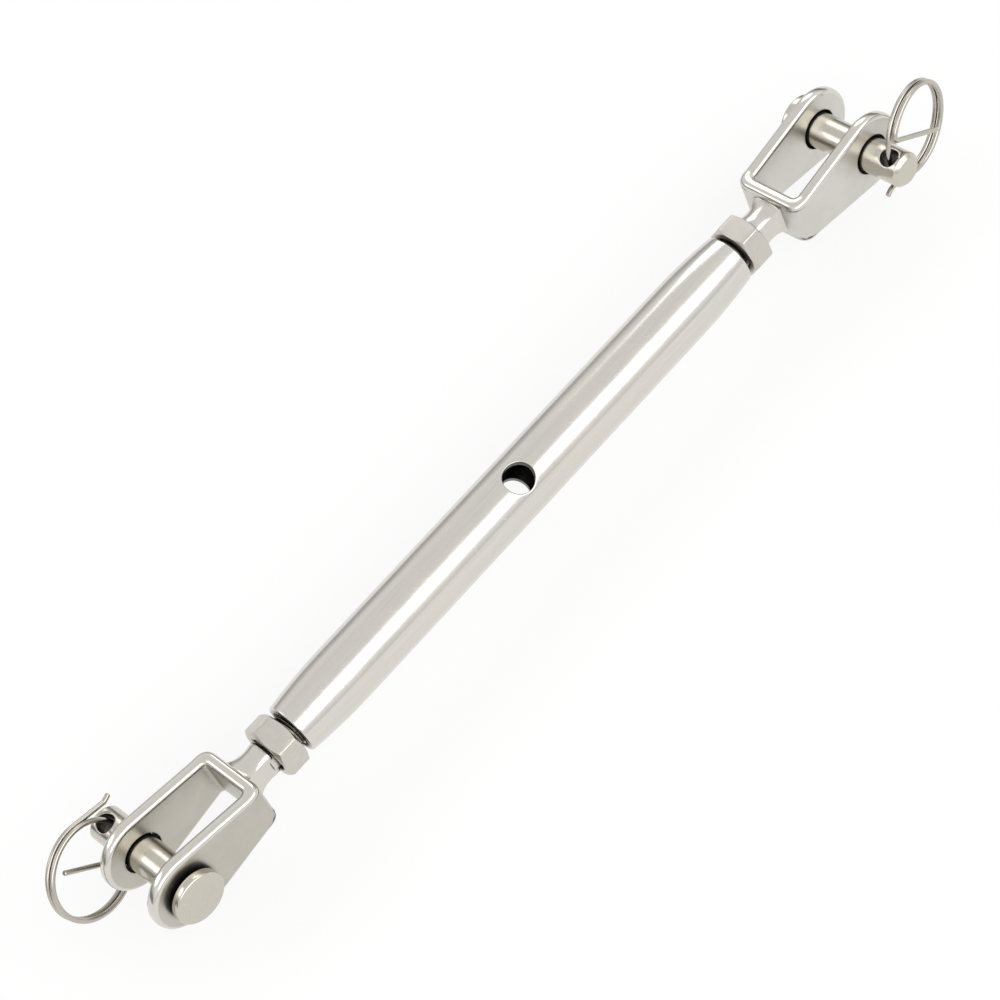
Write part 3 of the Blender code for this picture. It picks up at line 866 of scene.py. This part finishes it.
def make_ring(end, steel):
    """Round wire swept along its path and hung in the hole of its pin."""
    path = softened(ring_path(RING_FLIP[end]))
    along = np.gradient(path, axis=0)
    along /= np.linalg.norm(along, axis=1)[:, None]
    shape = bmesh.new()
    normal = np.array((0.0, 1.0, 0.0))
    loops = []
    places = list(zip(path, along, [RING_WIRE_RADIUS] * len(path)))
    blunt = RING_END_BLUNTING
    places.insert(0, (path[0] - along[0] * blunt, along[0], RING_WIRE_RADIUS - blunt))
    places.append((path[-1] + along[-1] * blunt, along[-1], RING_WIRE_RADIUS - blunt))
    for place, tangent, radius in places:
        normal = normal - (normal @ tangent) * tangent
        normal /= np.linalg.norm(normal)
        across = np.cross(tangent, normal)
        points = []
        for k in range(WIRE_SIDES):
            angle = 2 * math.pi * k / WIRE_SIDES
            points.append(place + radius * (math.cos(angle) * normal + math.sin(angle) * across))
        loops.append(loop(shape, points))
    skin(shape, loops)
    shape.faces.new(loops[0])
    shape.faces.new(loops[-1])
    lying = Euler((RING_CANT[end], RING_TILT[end], RING_LEAN[end])).to_matrix().to_4x4()
    place = pin_frame(end) @ Matrix.Translation((0, PIN_HOLE_ALONG, 0)) @ lying
    piece(end + "_split_ring", shape, [steel], end + "_ring", place, end + "_jaw_split_ring",
          weigh=False)


# Finishes

def add(tree, kind, values=None, **settings):
    """A node with its settings and the values of its inputs."""
    made = tree.nodes.new(kind)
    for name, value in settings.items():
        setattr(made, name, value)
    for name, value in (values or {}).items():
        made.inputs[name].default_value = value
    return made


def group(name, inputs, output):
    """An empty node group with its sockets; gives the tree and its input and output nodes."""
    tree = bpy.data.node_groups.new(name, "ShaderNodeTree")
    for label, kind, value in inputs:
        socket = tree.interface.new_socket(label, in_out="INPUT", socket_type=kind)
        socket.default_value = value
    tree.interface.new_socket(output, in_out="OUTPUT", socket_type="NodeSocketFloat")
    return tree, tree.nodes.new("NodeGroupInput"), tree.nodes.new("NodeGroupOutput")


def polish_lines_group():
    """Fine lines left by polishing or turning, drawn out along the axes where Stretch is small."""
    tree, given, made = group("polish_lines", [
        ("Place", "NodeSocketVector", (0.0, 0.0, 0.0)),
        ("Stretch", "NodeSocketVector", (60.0, 2500.0, 2500.0)),
    ], "Lines")
    drawn = add(tree, "ShaderNodeVectorMath", operation="MULTIPLY")
    noise = add(tree, "ShaderNodeTexNoise", {"Scale": 1.0, "Detail": 3.0, "Roughness": 0.6})
    spread = add(tree, "ShaderNodeMapRange", {"From Min": 0.3, "From Max": 0.7})
    tree.links.new(given.outputs["Place"], drawn.inputs[0])
    tree.links.new(given.outputs["Stretch"], drawn.inputs[1])
    tree.links.new(drawn.outputs["Vector"], noise.inputs["Vector"])
    tree.links.new(noise.outputs["Fac"], spread.inputs["Value"])
    tree.links.new(spread.outputs["Result"], made.inputs["Lines"])
    return tree


def smudges_group():
    """Soft cloudy patches left by handling and by uneven polishing."""
    tree, given, made = group("handling_smudges", [
        ("Place", "NodeSocketVector", (0.0, 0.0, 0.0)),
        ("Fineness", "NodeSocketFloat", 120.0),
    ], "Smudges")
    noise = add(tree, "ShaderNodeTexNoise", {"Detail": 4.0, "Roughness": 0.55, "Distortion": 0.6})
    spread = add(tree, "ShaderNodeMapRange", {"From Min": 0.38, "From Max": 0.66},
                 interpolation_type="SMOOTHSTEP")
    tree.links.new(given.outputs["Place"], noise.inputs["Vector"])
    tree.links.new(given.outputs["Fineness"], noise.inputs["Scale"])
    tree.links.new(noise.outputs["Fac"], spread.inputs["Value"])
    tree.links.new(spread.outputs["Result"], made.inputs["Smudges"])
    return tree


def scratches_group():
    """Sparse hairline scratches in two directions."""
    tree, given, made = group("hairline_scratches", [
        ("Place", "NodeSocketVector", (0.0, 0.0, 0.0)),
        ("Fineness", "NodeSocketFloat", 1.0),
    ], "Scratches")
    found = []
    for turn, drawn_out in SCRATCH_DIRECTIONS:
        turned = add(tree, "ShaderNodeVectorRotate", {"Rotation": turn}, rotation_type="EULER_XYZ")
        drawn = add(tree, "ShaderNodeVectorMath", operation="MULTIPLY")
        drawn.inputs[1].default_value = drawn_out
        noise = add(tree, "ShaderNodeTexNoise", {"Detail": 1.0, "Roughness": 0.4})
        few = add(tree, "ShaderNodeMapRange", {"From Min": 0.68, "From Max": 0.78})
        tree.links.new(given.outputs["Place"], turned.inputs["Vector"])
        tree.links.new(turned.outputs["Vector"], drawn.inputs[0])
        tree.links.new(drawn.outputs["Vector"], noise.inputs["Vector"])
        tree.links.new(given.outputs["Fineness"], noise.inputs["Scale"])
        tree.links.new(noise.outputs["Fac"], few.inputs["Value"])
        found.append(few)
    most = add(tree, "ShaderNodeMath", operation="MAXIMUM")
    tree.links.new(found[0].outputs["Result"], most.inputs[0])
    tree.links.new(found[1].outputs["Result"], most.inputs[1])
    tree.links.new(most.outputs["Value"], made.inputs["Scratches"])
    return tree


def crevices_group():
    """Painted shade where pieces nearly meet: the less of the surroundings is open, the darker."""
    tree, given, made = group("crevice_painted_shade", [
        ("Reach", "NodeSocketFloat", 1.5 * MM),
        ("Start", "NodeSocketFloat", 0.7),
        ("Full", "NodeSocketFloat", 0.35),
    ], "Crevices")
    shade = add(tree, "ShaderNodeAmbientOcclusion", samples=8)
    depth = add(tree, "ShaderNodeMapRange", {"To Min": 0.0, "To Max": 1.0}, interpolation_type="SMOOTHSTEP")
    tree.links.new(given.outputs["Reach"], shade.inputs["Distance"])
    tree.links.new(shade.outputs["AO"], depth.inputs["Value"])
    tree.links.new(given.outputs["Start"], depth.inputs["From Min"])
    tree.links.new(given.outputs["Full"], depth.inputs["From Max"])
    tree.links.new(depth.outputs["Result"], made.inputs["Crevices"])
    return tree


GROUPS = {
    "lines": polish_lines_group(),
    "smudges": smudges_group(),
    "scratches": scratches_group(),
    "crevices": crevices_group(),
}


def effect(tree, name, values, place=None):
    """One of the shared effects placed in a material; gives its mask."""
    made = add(tree, "ShaderNodeGroup", values, node_tree=GROUPS[name])
    if place is not None:
        tree.links.new(place, made.inputs["Place"])
    return made.outputs[0]


def between(tree, mask, low, high):
    """A value that goes from low to high with a mask."""
    made = add(tree, "ShaderNodeMapRange", {"To Min": low, "To Max": high})
    tree.links.new(mask, made.inputs["Value"])
    return made.outputs["Result"]


def summed(tree, masks):
    """All the masks added up."""
    result = masks[0]
    for mask in masks[1:]:
        made = add(tree, "ShaderNodeMath", operation="ADD")
        tree.links.new(result, made.inputs[0])
        tree.links.new(mask, made.inputs[1])
        result = made.outputs["Value"]
    return result


def tint(tree, mask, first, second):
    """A colour that goes from the first to the second with a mask; either may be another mix."""
    made = add(tree, "ShaderNodeMix", data_type="RGBA")
    for socket, colour in ((made.inputs[6], first), (made.inputs[7], second)):
        if isinstance(colour, bpy.types.NodeSocket):
            tree.links.new(colour, socket)
        else:
            socket.default_value = (*colour, 1.0)
    tree.links.new(mask, made.inputs[0])
    return made.outputs[2]


def scaled(colour, share):
    return [share * part for part in colour]


def metal(name):
    """A bare metal; gives the material, its node tree, its shader and the place on the piece."""
    material = bpy.data.materials.new(name)
    material.use_nodes = True
    tree = material.node_tree
    shader = tree.nodes["Principled BSDF"]
    shader.inputs["Metallic"].default_value = 1.0
    return material, tree, shader, add(tree, "ShaderNodeTexCoord").outputs["Object"]


def steel_finish(name, colour, stretch, roughness, smudge_fineness, line_depth, crevice=PLAIN_CREVICE,
                 waviness=0.0, face_colour=None, face_roughness=0.0, scratched=1.0):
    """A steel with polish lines, smudges and scratches in its tone and gloss, and painted shade in its
    crevices.

    With a face colour, only the rims keep the polish, and the faces between them are satin, painted darker
    deep in the U as shade.
    """
    material, tree, shader, place = metal(name)
    lines = effect(tree, "lines", {"Stretch": stretch}, place)
    smudges = effect(tree, "smudges", {"Fineness": smudge_fineness}, place)
    scratches = effect(tree, "scratches", {"Fineness": 1.0}, place)
    # painted shade: ambient occlusion darkens crevices where pieces nearly meet
    crevices = effect(tree, "crevices", dict(zip(CREVICE_INPUTS, crevice)))
    toned = tint(tree, lines, colour, scaled(colour, LINE_DARKENING))
    warmer = [part * share for part, share in zip(colour, SMUDGE_TINT)]
    hazed = tint(tree, between(tree, smudges, 0.0, SMUDGE_SHARE), toned, warmer)
    gloss = [
        between(tree, lines, LINE_ROUGHNESS[0] * roughness, LINE_ROUGHNESS[1] * roughness),
        between(tree, smudges, 0.0, SMUDGE_ROUGHNESS * roughness),
        between(tree, scratches, 0.0, SCRATCH_ROUGHNESS * scratched),
        between(tree, crevices, 0.0, CREVICE_ROUGHNESS),
    ]
    if face_colour:
        rim = add(tree, "ShaderNodeAttribute", attribute_name="rim").outputs["Fac"]
        satin = tint(tree, smudges, face_colour, scaled(face_colour, FACE_SMUDGE_DARKENING))
        # painted shade on the satin faces deep inside the U
        hollow = effect(tree, "crevices", dict(zip(CREVICE_INPUTS, JAW_HOLLOW_SHADE)))
        shaded = tint(tree, hollow, satin, scaled(face_colour, HOLLOW_SHADE_DARKENING))
        hazed = tint(tree, rim, shaded, hazed)
        gloss.append(between(tree, rim, face_roughness, 0.0))
    # the crevices are painted towards the shade colour
    tree.links.new(tint(tree, crevices, hazed, CREVICE_SHADE_COLOUR), shader.inputs["Base Color"])
    tree.links.new(summed(tree, gloss), shader.inputs["Roughness"])
    heights = [
        between(tree, lines, 0.0, line_depth),
        between(tree, scratches, 0.0, -SCRATCH_DEPTH * scratched),
    ]
    if waviness:
        heights.append(between(tree, smudges, 0.0, waviness))
    bump = add(tree, "ShaderNodeBump", {"Strength": 1.0, "Distance": RELIEF_UNIT})
    tree.links.new(summed(tree, heights), bump.inputs["Height"])
    tree.links.new(bump.outputs["Normal"], shader.inputs["Normal"])
    return material


def bore_finish():
    """The unpolished bores of the tube and the pins, painted dark as shade."""
    material, tree, shader, place = metal("shaded_bore")
    lines = effect(tree, "lines", {"Stretch": BORE_LINES}, place)
    smudges = effect(tree, "smudges", {"Fineness": BORE_SMUDGES}, place)
    stained = tint(tree, smudges, BORE_SHADE_COLOUR, scaled(BORE_SHADE_COLOUR, BORE_STAIN))
    tree.links.new(stained, shader.inputs["Base Color"])
    tree.links.new(between(tree, lines, *BORE_ROUGHNESS), shader.inputs["Roughness"])
    return material


# Studio

def aimed(azimuth, elevation):
    """Turned so that +Z points up and outwards, at an azimuth counted from -Y and an elevation."""
    return Matrix.Rotation(azimuth, 4, "Z") @ Matrix.Rotation(90.0 * DEG - elevation, 4, "X")


def make_camera():
    data = bpy.data.cameras.new("photo_camera")
    data.lens = CAMERA_LENS
    data.sensor_width = CAMERA_SENSOR
    camera = bpy.data.objects.new("photo_camera", data)
    bpy.context.scene.collection.objects.link(camera)
    turned = aimed(CAMERA_AZIMUTH, CAMERA_ELEVATION) @ Matrix.Rotation(CAMERA_ROLL, 4, "Z")
    back = turned.to_3x3() @ Vector((0, 0, 1))
    camera.matrix_world = Matrix.Translation(CAMERA_TARGET + CAMERA_DISTANCE * back) @ turned
    bpy.context.scene.camera = camera


def seen_by(tree, rays):
    """1 for light on any of the named kinds of ray."""
    path = add(tree, "ShaderNodeLightPath")
    seen = path.outputs[rays[0]]
    for ray in rays[1:]:
        either = add(tree, "ShaderNodeMath", operation="MAXIMUM")
        tree.links.new(seen, either.inputs[0])
        tree.links.new(path.outputs[ray], either.inputs[1])
        seen = either.outputs["Value"]
    return seen


def make_floor(level):
    """White paper that keeps the object's shadow and washes out to plain white further off."""
    shape = bmesh.new()
    bmesh.ops.create_circle(shape, cap_ends=True, segments=FLOOR_STEPS, radius=FLOOR_RADIUS)
    mesh = bpy.data.meshes.new("studio_floor")
    shape.to_mesh(mesh)
    shape.free()
    floor = bpy.data.objects.new("studio_floor", mesh)
    bpy.context.scene.collection.objects.link(floor)
    floor.location.z = level
    material = bpy.data.materials.new("white_paper")
    material.use_nodes = True
    tree = material.node_tree
    tree.nodes.remove(tree.nodes["Principled BSDF"])
    paper = add(tree, "ShaderNodeBsdfDiffuse", {"Color": FLOOR_PAPER})
    white = add(tree, "ShaderNodeEmission", {"Color": WHITE, "Strength": 1.0})
    blend = add(tree, "ShaderNodeMixShader")
    place = add(tree, "ShaderNodeTexCoord")
    distance = add(tree, "ShaderNodeVectorMath", operation="LENGTH")
    washed = add(tree, "ShaderNodeMapRange",
                 {"From Min": FLOOR_WASH_FROM, "From Max": FLOOR_WASH_FULL,
                  "To Min": FLOOR_WHITENESS, "To Max": 1.0},
                 interpolation_type="SMOOTHSTEP")
    share = add(tree, "ShaderNodeMath", operation="MULTIPLY")
    tree.links.new(place.outputs["Object"], distance.inputs[0])
    tree.links.new(distance.outputs["Value"], washed.inputs["Value"])
    tree.links.new(washed.outputs["Result"], share.inputs[0])
    seen = seen_by(tree, ("Is Camera Ray", "Is Glossy Ray", "Is Transmission Ray"))
    tree.links.new(seen, share.inputs[1])
    tree.links.new(share.outputs["Value"], blend.inputs["Fac"])
    tree.links.new(paper.outputs["BSDF"], blend.inputs[1])
    tree.links.new(white.outputs["Emission"], blend.inputs[2])
    tree.links.new(blend.outputs["Shader"], tree.nodes["Material Output"].inputs["Surface"])
    mesh.materials.append(material)


def softbox(name, distance, azimuth, elevation, size, radiance):
    """A rectangular lamp that faces the middle of the tube."""
    data = bpy.data.lights.new(name, "AREA")
    data.shape = "RECTANGLE"
    data.size, data.size_y = size
    data.energy = radiance * math.pi * size[0] * size[1]
    lamp = bpy.data.objects.new(name, data)
    bpy.context.scene.collection.objects.link(lamp)
    lamp.matrix_world = aimed(azimuth + 90.0 * DEG, elevation) @ Matrix.Translation((0, 0, distance))


def tent_tones(tree, height, stops):
    """The tent's brightness by height."""
    ramp = add(tree, "ShaderNodeValToRGB")
    ramp.color_ramp.interpolation = "EASE"
    tones = ramp.color_ramp.elements
    while len(tones) < len(stops):
        tones.new(0.5)
    for tone, (place, value) in zip(tones, stops):
        tone.position = place
        tone.color = (value, value, value, 1.0)
    tree.links.new(height, ramp.inputs["Fac"])
    return ramp.outputs["Color"]


def make_world():
    """A white tent: even light for matt surfaces, and soft tones by height for metal to mirror."""
    world = bpy.data.worlds.new("light_tent")
    bpy.context.scene.world = world
    world.use_nodes = True
    tree = world.node_tree
    tree.nodes.clear()
    direction = add(tree, "ShaderNodeTexCoord")
    parts = add(tree, "ShaderNodeSeparateXYZ")
    tree.links.new(direction.outputs["Generated"], parts.inputs["Vector"])
    from_below = add(tree, "ShaderNodeMapRange", {"From Min": -1.0, "From Max": 1.0})
    tree.links.new(parts.outputs["Z"], from_below.inputs["Value"])
    height = from_below.outputs["Result"]
    behind = tent_tones(tree, height, TENT_BEHIND)
    before = tent_tones(tree, height, TENT_BEFORE)
    beside = tent_tones(tree, height, TENT_SIDES)
    sideways = add(tree, "ShaderNodeMath", operation="ABSOLUTE")
    aside = add(tree, "ShaderNodeMapRange", {"From Min": TENT_SIDE_FROM, "From Max": TENT_SIDE_FULL},
                interpolation_type="SMOOTHSTEP")
    tree.links.new(parts.outputs["X"], sideways.inputs[0])
    tree.links.new(sideways.outputs["Value"], aside.inputs["Value"])
    behind = tint(tree, aside.outputs["Result"], behind, beside)
    facing = add(tree, "ShaderNodeMapRange", {"From Min": TENT_FRONT_TURN, "From Max": -TENT_FRONT_TURN},
                 interpolation_type="SMOOTHSTEP")
    tree.links.new(parts.outputs["Y"], facing.inputs["Value"])
    mirrored = add(tree, "ShaderNodeBackground", {"Strength": 1.0})
    tree.links.new(tint(tree, facing.outputs["Result"], behind, before), mirrored.inputs["Color"])
    even = add(tree, "ShaderNodeBackground", {"Color": WHITE, "Strength": TENT_LIGHT})
    white = add(tree, "ShaderNodeBackground", {"Color": WHITE, "Strength": 1.0})
    by_metal = add(tree, "ShaderNodeMixShader")
    tree.links.new(seen_by(tree, ("Is Glossy Ray",)), by_metal.inputs["Fac"])
    tree.links.new(even.outputs["Background"], by_metal.inputs[1])
    tree.links.new(mirrored.outputs["Background"], by_metal.inputs[2])
    by_camera = add(tree, "ShaderNodeMixShader")
    tree.links.new(seen_by(tree, ("Is Camera Ray", "Is Transmission Ray")), by_camera.inputs["Fac"])
    tree.links.new(by_metal.outputs["Shader"], by_camera.inputs[1])
    tree.links.new(white.outputs["Background"], by_camera.inputs[2])
    output = add(tree, "ShaderNodeOutputWorld")
    tree.links.new(by_camera.outputs["Shader"], output.inputs["Surface"])


make_camera()

tube_steel = steel_finish("polished_tube_steel", TUBE_COLOUR, TUBE_LINES, roughness=0.17,
                          smudge_fineness=90.0, line_depth=0.25, waviness=1.2)
jaw_steel = {}
# the right jaw's satin faces carry painted shade; the left's keep the plain satin tone
for end, face_colour in JAW_FACE_COLOURS_SHADED_BY_END.items():
    jaw_steel[end] = steel_finish("forged_" + end + "_jaw_steel", JAW_COLOUR, JAW_LINES, roughness=0.14,
                                  smudge_fineness=100.0, line_depth=0.12, crevice=JAW_CREVICE, waviness=1.5,
                                  face_colour=face_colour, face_roughness=0.18, scratched=0.4)
thread_steel = steel_finish("cut_thread_steel", JAW_COLOUR, TURNED_LINES, roughness=0.24,
                            smudge_fineness=300.0, line_depth=0.2, crevice=THREAD_CREVICE)
nut_steel = steel_finish("satin_nut_steel", NUT_COLOUR, NUT_LINES, roughness=0.30, smudge_fineness=220.0,
                         line_depth=0.4)
pin_steel = steel_finish("turned_pin_steel", PIN_COLOUR, TURNED_LINES, roughness=0.18, smudge_fineness=200.0,
                         line_depth=0.3, crevice=PIN_CREVICE)
wire_steel = steel_finish("drawn_wire_steel", WIRE_COLOUR, WIRE_LINES, roughness=0.22, smudge_fineness=250.0,
                          line_depth=0.2, crevice=WIRE_CREVICE)
bore_steel = bore_finish()
make_tube(tube_steel, bore_steel)
for end in ("right", "left"):
    make_thread(end, thread_steel)
    make_nut(end, nut_steel)
    make_jaw(end, jaw_steel[end])
    make_pin(end, pin_steel, bore_steel)
    make_ring(end, wire_steel)
make_floor(solid_box[0].z - FLOOR_DROP)
make_world()
softbox("key_softbox", KEY_DISTANCE, KEY_AZIMUTH, KEY_ELEVATION, KEY_SIZE, KEY_RADIANCE)
for azimuth in BACK_AZIMUTHS:
    softbox("back_softbox", BACK_DISTANCE, azimuth, BACK_ELEVATION, BACK_SIZE, BACK_RADIANCE)
bpy.context.scene.view_settings.view_transform = "Standard"
